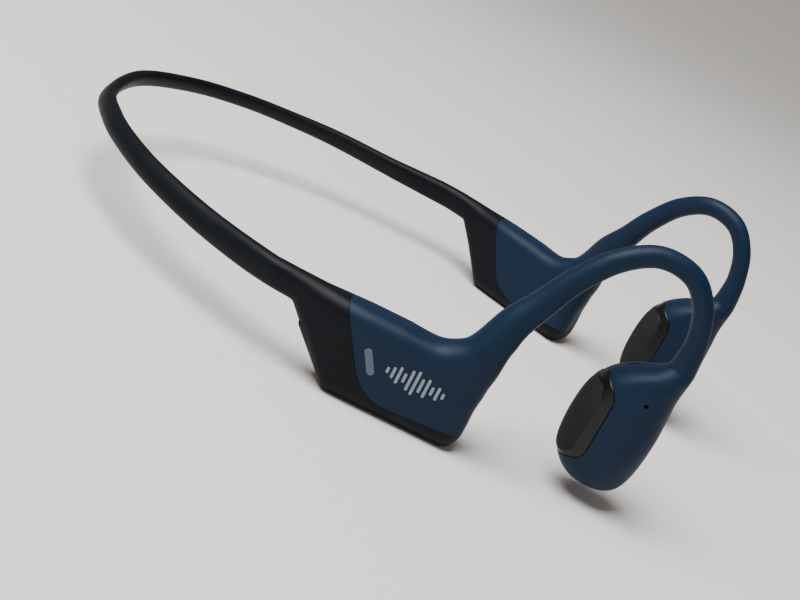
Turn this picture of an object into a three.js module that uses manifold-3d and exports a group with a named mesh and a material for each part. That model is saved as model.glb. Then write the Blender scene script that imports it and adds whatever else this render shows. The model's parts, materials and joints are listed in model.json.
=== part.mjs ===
// Wrap-around open-ear headset: a sprung neckband, an electronics case on each side, an ear hook that
// rises from each case, and a vibrating transducer at the end of each hook.
// Millimetres, +Z up, the wearer faces -Y, the wearer's right side is at -X.
// The headset lies as it is worn, on the flat bottom edges of its two cases.

import * as THREE from 'three';
import { mergeVertices } from 'three/addons/utils/BufferGeometryUtils.js';
import Module from 'manifold-3d';

const wasm = await Module();
wasm.setup();

const vec = (x, y, z) => new THREE.Vector3(x, y, z);
const AXIS_X = vec(1, 0, 0);
const AXIS_Y = vec(0, 1, 0);
const AXIS_Z = vec(0, 0, 1);

// ---------- driving dimensions ----------

const SEAM = 0.3; // clearance between pieces that meet
const WALL = 1.3; // wall of the moulded skins

const CASE = {
  x: 43.4, // half the distance between the cases at their front ends
  yaw: 0.262, // the cases toe out towards the back, radians
  height: 18.6,
  halfThickness: 4.7,
  front: -1.6,
  bottomEnd: 26.4, // where the flat bottom edge ends and the slanted rear face begins
  slantEnd: 38.2, // where the slanted rear face meets the underside of the band
  capEnd: 43, // where the cap ends and the band's sleeve begins
  tailEnd: 43.6,
  tailHalfThickness: 2.15,
  tailBend: 1.6, // the tail curves in towards the neck, sideways at its end
  bandUnderside: 12.5,
  edgeRadius: 3.3,
};

const BAND = {
  halfTall: [3.0, 2.98, 2.78, 2.58, 2.42, 2.3, 2.16, 2.08], // from the case to the middle of the back
  halfThin: [2.2, 2.13, 1.76, 1.6, 1.45, 1.4, 1.45, 1.55],
  tilt: [0, 0.05, 0.45, 0.57, 0.65, 0.65, 0.55, 0.36], // the broad outer face also looks up, radians
  channelRadius: 1.05,
};
const BAND_ROUTE = [ // right half, from inside the case's tail to the middle of the back
  vec(-52.05, 33.9, 15.55),
  vec(-53.2, 44.0, 15.5),
  vec(-49.9, 60.0, 15.35),
  vec(-44.8, 75.7, 15.9),
  vec(-38.3, 87.4, 16.2),
  vec(-30.5, 97.3, 16.5),
  vec(-18.9, 106.4, 16.6),
  vec(0, 110.8, 17.1),
];

const HOOK_STATIONS = [ // centre of the hook, half its width, half its thickness
  { at: vec(-44.3, 4.4, 8.0), wide: 5.2, thin: 3.6 },
  { at: vec(-44.5, 4.4, 11.0), wide: 6.5, thin: 4.1 },
  { at: vec(-44.5, 3.9, 15.0), wide: 6.8, thin: 4.4 },
  { at: vec(-44.2, 2.2, 18.0), wide: 5.4, thin: 4.25 },
  { at: vec(-43.9, 1.5, 20.7), wide: 4.4, thin: 3.95 },
  { at: vec(-43.3, 0.7, 23.8), wide: 3.8, thin: 3.6 },
  { at: vec(-42.3, -0.4, 27.8), wide: 3.35, thin: 3.2 },
  { at: vec(-40.8, -2.9, 33.0), wide: 2.8, thin: 2.75 },
  { at: vec(-39.3, -5.8, 39.2), wide: 2.48, thin: 2.43 },
  { at: vec(-37.2, -10.5, 46.0), wide: 2.27, thin: 2.27 },
  { at: vec(-34.6, -16.7, 50.1), wide: 2.12, thin: 2.16 },
  { at: vec(-32.7, -23.4, 49.6), wide: 2.05, thin: 2.05 },
  { at: vec(-31.6, -27.8, 45.2), wide: 2.0, thin: 2.05 },
  { at: vec(-31.1, -30.0, 39.0), wide: 2.15, thin: 2.15 },
  { at: vec(-31.0, -30.4, 33.3), wide: 2.63, thin: 2.6 },
];
const HOOK_ROOT = 4; // stations before this one spread the hook's foot inside the case
const HOOK_CHANNEL_RADIUS = 1.2;

const CAPSULE = { // transducer housing and pad: level sections from the bottom up
  x: 31.0,
  lift: 3.7, // height of its lowest point over the cases' bottom edges
  frontNarrowing: 0.2, // share of its thickness that the front edge loses
  sections: [ // height, front, rear, half thickness
    [0, -27.7, -22.8, 2.15],
    [0.6, -29.6, -20.9, 3.9],
    [2.05, -31.3, -18.8, 5.3],
    [4.7, -32.4, -16.9, 6.2],
    [8.6, -33.0, -16.1, 6.7],
    [13.95, -33.2, -16.0, 6.8],
    [18.35, -33.0, -16.6, 6.6],
    [22.25, -32.7, -18.5, 6.05],
    [25.15, -32.8, -21.8, 5.2],
    [27.3, -33.0, -25.7, 4.0],
    [29.15, -33.1, -27.8, 2.75],
  ],
};

const PAD = { front: -22.9, bottom: 7.2, top: 26.1, cornerRadius: 4.5, halfWidth: 7.5, faceRadius: 5.5 };

const BUTTON = { length: 9.6, width: 3.6, gap: 0.4, centres: [8.9, 18.9], recess: 0.1 };

const PORT = { along: 9.6, across: 4.2, depth: 1.4, pinRadius: 0.75, pinPitch: 2.6, holeGap: 0.25 };

// ---------- solids ----------

function toSolid(geometry) {
  const plain = geometry.clone();
  plain.deleteAttribute('normal');
  plain.deleteAttribute('uv');
  const merged = mergeVertices(plain, 1e-4);
  return new wasm.Manifold(new wasm.Mesh({
    numProp: 3,
    vertProperties: new Float32Array(merged.attributes.position.array),
    triVerts: new Uint32Array(merged.index.array),
  }));
}

function toGeometry(solid) {
  const mesh = solid.getMesh();
  const geometry = new THREE.BufferGeometry();
  geometry.setAttribute('position', new THREE.BufferAttribute(mesh.vertProperties.slice(), 3));
  geometry.setIndex(new THREE.BufferAttribute(mesh.triVerts.slice(), 1));
  geometry.computeVertexNormals();
  return geometry;
}

const cut = (base, ...tools) => toGeometry(
  tools.reduce((solid, tool) => solid.subtract(toSolid(tool)), toSolid(base)));
const join = (base, ...others) => toGeometry(
  others.reduce((solid, other) => solid.add(toSolid(other)), toSolid(base)));
const common = (base, ...others) => toGeometry(
  others.reduce((solid, other) => solid.intersect(toSolid(other)), toSolid(base)));

// Ring of a rounded rectangle, anticlockwise about u x v.
function ring(centre, u, v, halfU, halfV, radius, arcSteps = 3) {
  const r = Math.min(radius, 0.97 * halfU, 0.97 * halfV);
  const points = [];
  for (let quarter = 0; quarter < 4; quarter++) {
    const signU = quarter === 0 || quarter === 3 ? 1 : -1;
    const signV = quarter < 2 ? 1 : -1;
    for (let i = 0; i <= arcSteps; i++) {
      const angle = (quarter + i / arcSteps) * Math.PI / 2;
      const alongU = signU * (halfU - r) + r * Math.cos(angle);
      const alongV = signV * (halfV - r) + r * Math.sin(angle);
      points.push(centre.clone().addScaledVector(u, alongU).addScaledVector(v, alongV));
    }
  }
  return points;
}

// Skin over rings of equal count, closed by a flat fan at each end.
function loft(rings) {
  const count = rings[0].length;
  const points = rings.flat();
  const index = [];
  for (let i = 0; i + 1 < rings.length; i++) {
    for (let j = 0; j < count; j++) {
      const a = i * count + j;
      const b = i * count + (j + 1) % count;
      index.push(a, b, a + count, b, b + count, a + count);
    }
  }
  const middle = (list) => list.reduce((sum, p) => sum.add(p), vec(0, 0, 0)).divideScalar(list.length);
  const last = (rings.length - 1) * count;
  points.push(middle(rings[0]), middle(rings[rings.length - 1]));
  for (let j = 0; j < count; j++) {
    const next = (j + 1) % count;
    index.push(points.length - 2, next, j);
    index.push(points.length - 1, last + j, last + next);
  }
  const geometry = new THREE.BufferGeometry().setFromPoints(points);
  geometry.setIndex(index);
  geometry.computeVertexNormals();
  return geometry;
}

// Same solid on the other side of the headset's middle plane.
function mirrored(geometry) {
  const copy = geometry.clone().applyMatrix4(new THREE.Matrix4().makeScale(-1, 1, 1));
  const index = copy.index.array;
  for (let i = 0; i < index.length; i += 3) {
    [index[i], index[i + 1]] = [index[i + 1], index[i]];
  }
  copy.computeVertexNormals();
  return copy;
}

const indexed = (geometry) => {
  const plain = geometry.clone();
  plain.deleteAttribute('uv');
  plain.deleteAttribute('normal');
  return mergeVertices(plain, 1e-4);
};

// Plate with an outline in the side plane (Y, Z) and a thickness along X, centred on X = 0.
function sidePlate(shape, thickness, bevel = 0) {
  const geometry = new THREE.ExtrudeGeometry(shape, {
    depth: thickness - 2 * bevel,
    bevelEnabled: bevel > 0,
    bevelThickness: bevel,
    bevelSize: bevel,
    bevelOffset: -bevel,
    bevelSegments: 2,
    curveSegments: 2,
  });
  geometry.translate(0, 0, bevel - thickness / 2);
  geometry.applyMatrix4(new THREE.Matrix4().makeBasis(AXIS_Y, AXIS_Z, vec(1, 0, 0)));
  return indexed(geometry);
}

function roundedRectangle(width, height, radius) {
  const shape = new THREE.Shape();
  const w = width / 2;
  const h = height / 2;
  shape.moveTo(-w + radius, -h);
  shape.lineTo(w - radius, -h);
  shape.absarc(w - radius, -h + radius, radius, -Math.PI / 2, 0);
  shape.lineTo(w, h - radius);
  shape.absarc(w - radius, h - radius, radius, 0, Math.PI / 2);
  shape.lineTo(-w + radius, h);
  shape.absarc(-w + radius, h - radius, radius, Math.PI / 2, Math.PI);
  shape.lineTo(-w, -h + radius);
  shape.absarc(-w + radius, -h + radius, radius, Math.PI, 1.5 * Math.PI);
  return shape;
}

function block(dx, dy, dz, x = 0, y = 0, z = 0) {
  return indexed(new THREE.BoxGeometry(dx, dy, dz).translate(x, y, z));
}
const disc = (radius, height, sides = 16) => indexed(new THREE.CylinderGeometry(
  radius, radius, height, sides));

function tube(curve, radius, steps, sides = 8) {
  const shape = new THREE.Shape().absarc(0, 0, radius, 0, 2 * Math.PI);
  return indexed(new THREE.ExtrudeGeometry(shape, {
    steps, extrudePath: curve, bevelEnabled: false, curveSegments: sides / 2,
  }));
}

// ---------- band ----------

const mirrorPoint = (p) => vec(-p.x, p.y, p.z);
const bandPoints = [...BAND_ROUTE, ...BAND_ROUTE.slice(0, -1).reverse().map(mirrorPoint)];
const bandCurve = new THREE.CatmullRomCurve3(bandPoints, false, 'centripetal');
const bandSizes = new THREE.CatmullRomCurve3(BAND.halfTall.map(
  (tall, i) => vec(tall, BAND.halfThin[i], BAND.tilt[i])));

// Frame of the band at t: its centre, the tall and the thin axis of its section, and their half sizes.
function bandFrame(t) {
  const size = bandSizes.getPoint(1 - Math.abs(2 * t - 1));
  const tangent = bandCurve.getTangent(t);
  const inward = tangent.clone().cross(AXIS_Z).normalize();
  const up = inward.clone().cross(tangent);
  const tall = up.clone().multiplyScalar(Math.cos(size.z)).addScaledVector(inward, Math.sin(size.z));
  const thin = inward.multiplyScalar(Math.cos(size.z)).addScaledVector(up, -Math.sin(size.z));
  return { centre: bandCurve.getPoint(t), tall, thin, halfTall: size.x, halfThin: size.y };
}

function bandBody() {
  const steps = 36;
  const rings = [];
  for (let i = 0; i <= steps; i++) {
    const { centre, tall, thin, halfTall, halfThin } = bandFrame(i / steps);
    rings.push(ring(centre, tall, thin, halfTall, halfThin, halfThin));
  }
  return loft(rings);
}

// Line that runs inside the band, shifted along the tall axis.
function bandLine(shift) {
  const points = [];
  const steps = 28;
  for (let i = 0; i <= steps; i++) {
    const { centre, tall } = bandFrame(i / steps);
    points.push(centre.addScaledVector(tall, shift));
  }
  return new THREE.CatmullRomCurve3(points);
}

// ---------- right case, in its own frame: Y runs back along the case, X is its thickness ----------

const caseMatrix = new THREE.Matrix4().makeRotationZ(CASE.yaw).setPosition(-CASE.x, 0, 0);
const caseToHeadset = (geometry) => geometry.clone().applyMatrix4(caseMatrix);
const smooth = THREE.MathUtils.smoothstep;

// Section of the case at distance y along it, with every face drawn in by inset.
function caseSection(y, inset, edge = 0) {
  const slope = (CASE.bandUnderside) / (CASE.slantEnd - CASE.bottomEnd);
  const slant = THREE.MathUtils.clamp(y - CASE.bottomEnd, 0, CASE.slantEnd - CASE.bottomEnd) * slope;
  const slantInset = slant > 0 ? inset * Math.hypot(1, slope) : inset;
  const low = slant + slantInset + edge;
  const high = CASE.height - inset - edge;
  const taper = smooth(y, CASE.bottomEnd - 4, CASE.tailEnd);
  const bend = CASE.tailBend * Math.max(0, (y - CASE.bottomEnd) / (CASE.tailEnd - CASE.bottomEnd)) ** 2;
  const half = CASE.halfThickness - taper * (CASE.halfThickness - CASE.tailHalfThickness) - inset - edge;
  const centre = vec(bend, y, (low + high) / 2);
  return ring(centre, AXIS_Z, vec(1, 0, 0), (high - low) / 2, half, Math.max(CASE.edgeRadius - inset, 0.8));
}

// Case between two distances along it, with a rounded front end.
function caseBody(inset, to) {
  const from = CASE.front + inset;
  const round = CASE.edgeRadius - inset;
  const rings = [];
  for (const angle of [0.25, 0.7, 1.15, Math.PI / 2]) {
    rings.push(caseSection(from + round * (1 - Math.cos(angle)), inset, round * (1 - Math.sin(angle))));
  }
  for (const y of [12, 22.4, CASE.bottomEnd, 28.5, 31, 33.5, 36, CASE.slantEnd, 40.5, CASE.capEnd]) {
    if (y <= to) rings.push(caseSection(y, inset));
  }
  return loft(rings);
}

// Side-plane region of the black rear cap and bottom strip; shift moves its edge away from the blue skin.
function capRegion(shift) {
  const reach = 60;
  const shape = new THREE.Shape();
  shape.moveTo(34, reach);
  shape.lineTo(29.0, 19.2);
  shape.lineTo(22.3, 8.0);
  shape.quadraticCurveTo(19.2, 2.8, 13.6, 2.9);
  shape.lineTo(-0.6, 4.0);
  shape.lineTo(-reach, 8);
  shape.lineTo(-reach, -reach);
  shape.lineTo(reach, -reach);
  shape.lineTo(reach, reach);
  return sidePlate(shape, 40).translate(0, shift, -shift);
}

// ---------- hook ----------

const hookCurve = new THREE.CatmullRomCurve3(HOOK_STATIONS.map((s) => s.at), false, 'centripetal');
const hookSizes = new THREE.CatmullRomCurve3(HOOK_STATIONS.map((s) => vec(s.wide, s.thin, 0)));

function hookFrame(curve, t) {
  const tangent = curve.getTangent(t);
  const wide = vec(1, 0.3, 0).cross(tangent).normalize();
  return { centre: curve.getPoint(t), wide, thin: tangent.clone().cross(wide) };
}

function hookBody() {
  const steps = 30;
  const rings = [];
  for (let i = 0; i <= steps; i++) {
    const { centre, wide, thin } = hookFrame(hookCurve, i / steps);
    const size = hookSizes.getPoint(i / steps);
    rings.push(ring(centre, wide, thin, size.x, size.y, size.y));
  }
  return loft(rings);
}

// Line inside the hook, from the case's hollow to the transducer's, shifted across the hook.
function hookLine(shift) {
  const stations = HOOK_STATIONS.slice(HOOK_ROOT).map((s) => s.at);
  const route = [vec(-43.5, 3.1, 16.2), ...stations, vec(-CAPSULE.x, -28.95, CAPSULE.lift + 24.4)];
  const curve = new THREE.CatmullRomCurve3(route, false, 'centripetal');
  const points = [];
  const steps = 24;
  for (let i = 0; i <= steps; i++) {
    const { centre, wide } = hookFrame(curve, i / steps);
    points.push(centre.addScaledVector(wide, shift));
  }
  return new THREE.CatmullRomCurve3(points);
}

// ---------- right transducer ----------

function capsuleBody(inset) {
  const sections = CAPSULE.sections.filter(([z]) => inset === 0 || (z >= 2 && z < 27));
  return loft(sections.map(([z, front, rear, half]) => {
    const depth = (rear - front) / 2 - inset;
    const thick = half - inset;
    const centre = vec(-CAPSULE.x, (front + rear) / 2, z + CAPSULE.lift);
    const points = ring(centre, AXIS_X, AXIS_Y, thick, depth, 0.85 * Math.min(thick, depth), 4);
    for (const p of points) {
      const narrowing = CAPSULE.frontNarrowing * Math.max(0, (centre.y - p.y) / depth);
      p.x = centre.x + (p.x - centre.x) * (1 - narrowing);
    }
    return points;
  }));
}

// Space of the pad: rounded seen from the side and seen from behind.
function padRegion(grow) {
  const height = PAD.top - PAD.bottom + 2 * grow;
  const middle = (PAD.top + PAD.bottom) / 2;
  const depth = 24;
  const side = sidePlate(roundedRectangle(depth, height, PAD.cornerRadius), 40);
  side.translate(-CAPSULE.x, PAD.front - grow + depth / 2, middle);
  const face = roundedRectangle(2 * (PAD.halfWidth + grow), height, PAD.faceRadius);
  const back = indexed(new THREE.ExtrudeGeometry(face, { depth: 40, bevelEnabled: false, curveSegments: 4 }));
  back.rotateX(Math.PI / 2).translate(-CAPSULE.x, 0, middle);
  return common(side, back);
}

// ---------- shapes of the right side, in the headset's frame ----------

const wholeCase = caseToHeadset(caseBody(0, CASE.capEnd));
const caseHollow = caseToHeadset(caseBody(WALL, CASE.slantEnd));
const hookChannel = tube(hookLine(0), HOOK_CHANNEL_RADIUS, 20);
const bandChannel = tube(bandLine(0), BAND.channelRadius, 34);
const MOTOR = { y: -25.7, z: 16.6 };
const LED = { y: 20.3, z: 10.2, tilt: -0.52, width: 1.5, height: 5.4 };
const MIC = { y: -28.35, z: 24.9, holeRadius: 0.45 };
const VENTS = [ // slots in the top and the underside of a transducer
  { y: -22.0, z: 29.3, tilt: -0.6, length: 2.8, gap: 0.7 },
  { y: -22.6, z: 3.9, tilt: 0.31, length: 2.6, gap: 0.7 },
];
const MULTI = { y: -28.1, z: 15.8, width: 5.2, height: 9.6 };

function lightPipeShape(grow, thickness) {
  const outline = roundedRectangle(LED.width + 2 * grow, LED.height + 2 * grow, LED.width / 2 + grow - 0.01);
  return sidePlate(outline, thickness).rotateX(LED.tilt);
}

function caseSkin(isRight) {
  const tools = [caseToHeadset(capRegion(-SEAM / Math.SQRT2)), caseHollow, hookChannel];
  if (isRight) {
    const hole = lightPipeShape(0.2, 6).translate(-CASE.halfThickness, LED.y, LED.z);
    tools.push(caseToHeadset(hole));
  }
  return cut(join(wholeCase, hookBody()), ...tools);
}

// Frame of the charging port on the slanted rear face: Z is the face's outward normal, Y runs down it.
const slantAngle = Math.atan2(CASE.bandUnderside, CASE.slantEnd - CASE.bottomEnd);
const portPosition = vec(0, (CASE.bottomEnd + CASE.slantEnd) / 2, CASE.bandUnderside / 2);
const portMatrix = new THREE.Matrix4().makeRotationX(slantAngle - Math.PI).setPosition(portPosition);

function rearCap(isRight) {
  const tools = [caseHollow, bandChannel];
  if (isRight) {
    const middle = (BUTTON.centres[0] + BUTTON.centres[1]) / 2;
    const length = BUTTON.centres[1] - BUTTON.centres[0] + BUTTON.length + BUTTON.gap;
    const slot = block(BUTTON.width, length, 4, 0, middle, 0);
    const portHole = block(PORT.across + 2 * PORT.holeGap, PORT.along + 2 * PORT.holeGap, 8);
    portHole.applyMatrix4(portMatrix);
    tools.push(caseToHeadset(slot), caseToHeadset(portHole));
  }
  return cut(common(wholeCase, caseToHeadset(capRegion(0))), ...tools);
}

function bandSleeve() {
  const end = caseToHeadset(block(40, 60, 60, 0, CASE.capEnd + SEAM - 30, 15));
  return cut(bandBody(), end, mirrored(end), bandChannel);
}

function transducerHousing(isLeft) {
  const micHole = disc(MIC.holeRadius, 6, 10).rotateZ(Math.PI / 2).translate(-CAPSULE.x - 6.5, MIC.y, MIC.z);
  const vents = VENTS.map(({ y, z, tilt, length, gap }) => (
    block(gap, length, 4).rotateX(tilt).translate(-CAPSULE.x, y, z)));
  const tools = [padRegion(SEAM), capsuleBody(WALL), hookChannel, micHole, ...vents];
  if (isLeft) {
    tools.push(multifunctionPrism(0.3, 5));
  }
  return cut(capsuleBody(0), ...tools);
}

// Prism of the multifunction button, grown all round; it reaches this far each way from a plane
// just outside the housing.
function multifunctionPrism(grow, reach) {
  const width = MULTI.width + 2 * grow;
  const outline = roundedRectangle(width, MULTI.height + 2 * grow, width / 2 - 0.01);
  return sidePlate(outline, 2 * reach).translate(-CAPSULE.x - 8, MULTI.y, MULTI.z);
}

const multifunctionButton = () => common(cut(capsuleBody(0), capsuleBody(WALL)), multifunctionPrism(0, 4));
const padSocket = () => block(6, 2, 10, -CAPSULE.x, PAD.front, MOTOR.z);
const pad = () => cut(common(capsuleBody(0), padRegion(0)), padSocket());

// ---------- pieces inside a case, in the case's frame ----------

const TRAY = { y: 13.8, z: 9.8, length: 22.6, height: 11.6, depth: 6.0, wall: 0.8, radius: 2.4 };

function tray() {
  const outer = sidePlate(roundedRectangle(TRAY.length, TRAY.height, TRAY.radius), TRAY.depth);
  const inner = roundedRectangle(
    TRAY.length - 2 * TRAY.wall, TRAY.height - 2 * TRAY.wall, TRAY.radius - TRAY.wall);
  const pocket = sidePlate(inner, TRAY.depth).translate(TRAY.wall, 0, 0);
  const leadHole = block(1.6, 3, 2.2, 0.6, TRAY.length / 2, 3.4);
  return cut(outer, pocket, leadHole).translate(0, TRAY.y, TRAY.z);
}

function trayLid() {
  const length = TRAY.length - 2 * TRAY.wall - 2 * SEAM;
  const height = TRAY.height - 2 * TRAY.wall - 2 * SEAM;
  const plate = sidePlate(roundedRectangle(length, height, TRAY.radius - TRAY.wall - SEAM), 0.7);
  return plate.translate(TRAY.depth / 2 - 0.55, TRAY.y, TRAY.z);
}

function mainBoard() {
  const board = block(0.8, 19.6, 9.4, -0.9, TRAY.y, TRAY.z);
  const radioChip = block(1.2, 4.2, 4.2, -0.1, TRAY.y - 4, TRAY.z + 1);
  const powerChip = block(1.0, 3, 3, -0.2, TRAY.y + 2.5, TRAY.z - 2);
  const codecChip = block(0.9, 2.4, 3.4, -0.2, TRAY.y + 6.8, TRAY.z + 1.5);
  return join(board, radioChip, powerChip, codecChip);
}

const battery = () => sidePlate(roundedRectangle(19.4, 9.2, 1.2), 3.6, 0.5).translate(-0.1, TRAY.y, TRAY.z);

function volumeButton() {
  const cap = block(BUTTON.width - BUTTON.gap, BUTTON.length, 1.5, 0, 0, 0.75);
  const flange = block(BUTTON.width + 0.6, BUTTON.length - 0.4, 0.5, 0, 0, 1.72);
  const plunger = block(1.4, 1.4, 0.5, 0, 0, 2.1);
  return join(cap, flange, plunger);
}

function buttonBoard() {
  const [front, rear] = BUTTON.centres;
  const board = block(3.4, rear - front + 6, 0.35, 0, (front + rear) / 2, 3.55);
  const dome = disc(1.2, 0.6).rotateX(Math.PI / 2);
  return join(board, dome.clone().translate(0, front, 3.15), dome.clone().translate(0, rear, 3.15));
}

// ---------- pieces of the charging port, in the port's frame ----------

function portPlate() {
  const plate = block(PORT.across, PORT.along, PORT.depth, 0, 0, -0.15 - PORT.depth / 2);
  const holes = [-1, 1].map((side) => disc(PORT.pinRadius + 0.15, 4).rotateX(Math.PI / 2)
    .translate(0, side * PORT.pinPitch, 0));
  return cut(plate, ...holes);
}

const portContact = () => disc(PORT.pinRadius, 1.7, 16).rotateX(Math.PI / 2).translate(0, 0, -1.05);
const portMagnet = () => disc(1.3, 1.2, 16).rotateX(Math.PI / 2).translate(0, 0, -2.3);

// ---------- pieces of the transducer's motor, along Y about the motor's axis ----------

function yokeCup() {
  const profile = [[0, 0], [3.6, 0], [3.6, 3.8], [3.2, 3.8], [3.2, 0.8], [0, 0.8]];
  return indexed(new THREE.LatheGeometry(profile.map(([r, y]) => new THREE.Vector2(r, y)), 20));
}

function coil() {
  const profile = [[2.4, 0], [2.9, 0], [2.9, 2.4], [2.4, 2.4], [2.4, 0]];
  return indexed(new THREE.LatheGeometry(profile.map(([r, y]) => new THREE.Vector2(r, y)), 20));
}

function springPlate() {
  const face = roundedRectangle(9.4, 17.6, 3);
  for (const side of [-1, 1]) {
    const window = roundedRectangle(6.4, 3.6, 1.2).getPoints(4)
      .map((p) => new THREE.Vector2(p.x, p.y + side * 5.6));
    face.holes.push(new THREE.Path(window));
  }
  const plate = new THREE.ExtrudeGeometry(face, { depth: 0.3, bevelEnabled: false, curveSegments: 2 });
  return indexed(plate).rotateX(Math.PI / 2);
}

function padPlate() {
  const plate = new THREE.ExtrudeGeometry(roundedRectangle(8.4, 15, 3.4), {
    depth: 0.7, bevelEnabled: false, curveSegments: 2,
  });
  return indexed(plate).rotateX(Math.PI / 2);
}

// ---------- assembly ----------

const finish = {
  blue: () => new THREE.MeshStandardMaterial({ color: 0x1d3a55, roughness: 0.55, metalness: 0 }),
  black: () => new THREE.MeshStandardMaterial({ color: 0x14171c, roughness: 0.6, metalness: 0 }),
  band: () => new THREE.MeshStandardMaterial({ color: 0x1a2028, roughness: 0.5, metalness: 0 }),
  rubber: () => new THREE.MeshStandardMaterial({ color: 0x26282a, roughness: 0.9, metalness: 0 }),
  lens: () => new THREE.MeshStandardMaterial({ color: 0x9fb4c4, roughness: 0.3, metalness: 0 }),
  plastic: () => new THREE.MeshStandardMaterial({ color: 0x2b2d30, roughness: 0.7, metalness: 0 }),
  board: () => new THREE.MeshStandardMaterial({ color: 0x1f5a34, roughness: 0.6, metalness: 0 }),
  foil: () => new THREE.MeshStandardMaterial({ color: 0xb8bcc0, roughness: 0.35, metalness: 0.8 }),
  steel: () => new THREE.MeshStandardMaterial({ color: 0x9a9ea3, roughness: 0.35, metalness: 1 }),
  titanium: () => new THREE.MeshStandardMaterial({ color: 0x8c8f94, roughness: 0.4, metalness: 1 }),
  gold: () => new THREE.MeshStandardMaterial({ color: 0xd9b25a, roughness: 0.25, metalness: 1 }),
  copper: () => new THREE.MeshStandardMaterial({ color: 0xb06a3a, roughness: 0.4, metalness: 1 }),
};

const headset = new THREE.Group();

function addPart(parent, name, geometry, material, position = vec(0, 0, 0)) {
  const mesh = new THREE.Mesh(geometry, material());
  mesh.name = name;
  mesh.position.copy(position);
  parent.add(mesh);
}

addPart(headset, 'band_sleeve', bandSleeve(), finish.band);
addPart(headset, 'band_memory_wire', tube(bandLine(0.5), 0.45, 34, 6), finish.titanium);
addPart(headset, 'band_lead', tube(bandLine(-0.55), 0.35, 34, 6), finish.copper);

for (const side of ['right', 'left']) {
  const isRight = side === 'right';
  const sign = isRight ? 1 : -1;
  const turn = (geometry) => (isRight ? geometry : mirrored(geometry));

  addPart(headset, `${side}_case_and_hook_skin`, turn(caseSkin(isRight)), finish.blue);
  addPart(headset, `${side}_rear_cap`, turn(rearCap(isRight)), finish.black);
  addPart(headset, `${side}_hook_wire`, turn(tube(hookLine(0.55), 0.5, 20, 6)), finish.titanium);
  addPart(headset, `${side}_hook_lead`, turn(tube(hookLine(-0.6), 0.4, 20, 6)), finish.copper);
  addPart(headset, `${side}_transducer_housing`, turn(transducerHousing(!isRight)), finish.blue);
  addPart(headset, `${side}_pad`, turn(pad()), finish.rubber);

  const caseFrame = new THREE.Group();
  caseFrame.position.set(-sign * CASE.x, 0, 0);
  caseFrame.rotation.z = sign * CASE.yaw;
  headset.add(caseFrame);
  addPart(caseFrame, `${side}_tray`, turn(tray()), finish.plastic);
  addPart(caseFrame, `${side}_tray_lid`, turn(trayLid()), finish.plastic);

  if (isRight) {
    addPart(caseFrame, 'main_board', mainBoard(), finish.board);
    addPart(caseFrame, 'button_board', buttonBoard(), finish.board);
    ['volume_down_button', 'volume_up_button'].forEach((name, i) => {
      addPart(caseFrame, name, volumeButton(), finish.black, vec(0, BUTTON.centres[i], BUTTON.recess));
    });
    const pipe = lightPipeShape(0, 1.3);
    addPart(caseFrame, 'status_light_pipe', pipe, finish.lens, vec(-CASE.halfThickness + 0.65, LED.y, LED.z));
    const portFrame = new THREE.Group();
    portFrame.applyMatrix4(portMatrix);
    caseFrame.add(portFrame);
    addPart(portFrame, 'charging_port_plate', portPlate(), finish.plastic);
    addPart(portFrame, 'charging_contact_upper', portContact(), finish.gold, vec(0, -PORT.pinPitch, 0));
    addPart(portFrame, 'charging_contact_lower', portContact(), finish.gold, vec(0, PORT.pinPitch, 0));
    addPart(portFrame, 'charging_magnet', portMagnet(), finish.steel);
  } else {
    addPart(caseFrame, 'battery', mirrored(battery()), finish.foil);
    addPart(headset, 'multifunction_button', mirrored(multifunctionButton()), finish.blue);
  }

  const motor = new THREE.Group();
  motor.position.set(-sign * CAPSULE.x, MOTOR.y, MOTOR.z);
  headset.add(motor);
  addPart(motor, `${side}_magnet_yoke`, yokeCup(), finish.steel, vec(0, -4.3, 0));
  addPart(motor, `${side}_magnet`, disc(2.1, 2.2), finish.steel, vec(0, -2.2, 0));
  addPart(motor, `${side}_pole_plate`, disc(2.1, 0.5), finish.steel, vec(0, -0.7, 0));
  addPart(motor, `${side}_voice_coil`, coil(), finish.copper, vec(0, -2.8, 0));
  addPart(motor, `${side}_armature_plate`, disc(4.6, 0.6), finish.steel, vec(0, 0.2, 0));
  addPart(motor, `${side}_spring_plate`, springPlate(), finish.steel, vec(0, 1.3, 0));
  addPart(motor, `${side}_pad_plate`, padPlate(), finish.steel, vec(0, 2.5, 0));
  addPart(motor, `${side}_microphone`, block(1, 2.2, 2.6, 0, 0, 0), finish.plastic,
    vec(-sign * 2.9, MIC.y - MOTOR.y, MIC.z - MOTOR.z));
}

// The origin is under the middle of the headset, on the surface that it lies on.
const bounds = new THREE.Box3().setFromObject(headset);
headset.position.y = -(bounds.min.y + bounds.max.y) / 2;
headset.position.z = -bounds.min.z;

export default headset;
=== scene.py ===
"""Looks of the bone conduction headset: fine skins, seams, printed mark, materials, light and camera."""

import json
import math

import bmesh
import bpy
import numpy as np
from mathutils import Matrix, Vector


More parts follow.
